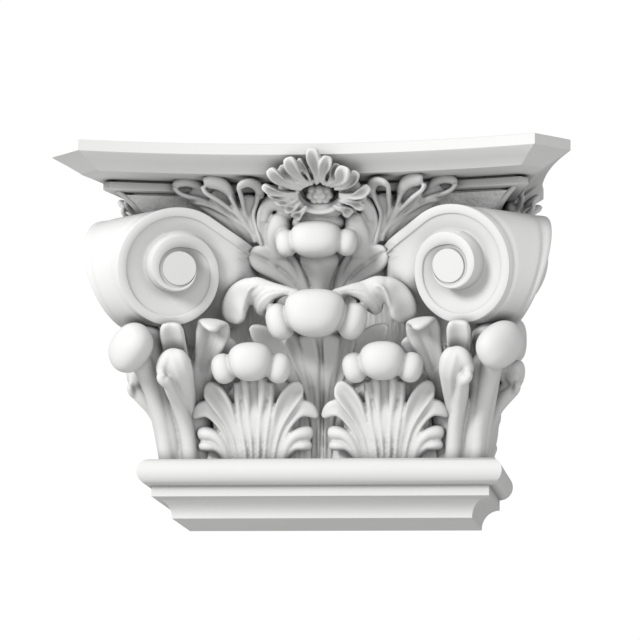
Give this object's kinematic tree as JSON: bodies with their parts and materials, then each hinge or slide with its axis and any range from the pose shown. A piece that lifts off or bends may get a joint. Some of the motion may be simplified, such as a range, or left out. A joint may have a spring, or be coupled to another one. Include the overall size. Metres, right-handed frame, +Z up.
{
  "type": "pilaster capital",
  "caption": "White cast pilaster capital with a concave abacus, corner volutes and curled leaves, flat at the back; it crowns a flat shaft against a wall.",
  "frame": {"origin": "under the middle of the bounding box, at the height of the flat underside", "axes": "+X along the wall, +Y into the wall behind the flat back, +Z up"},
  "size_m": [0.425, 0.231, 0.295],
  "materials": {
    "plaster": "matt white cast plaster"
  },
  "bodies": {
    "root": {"capital": "plaster"}
  },
  "joints": []
}
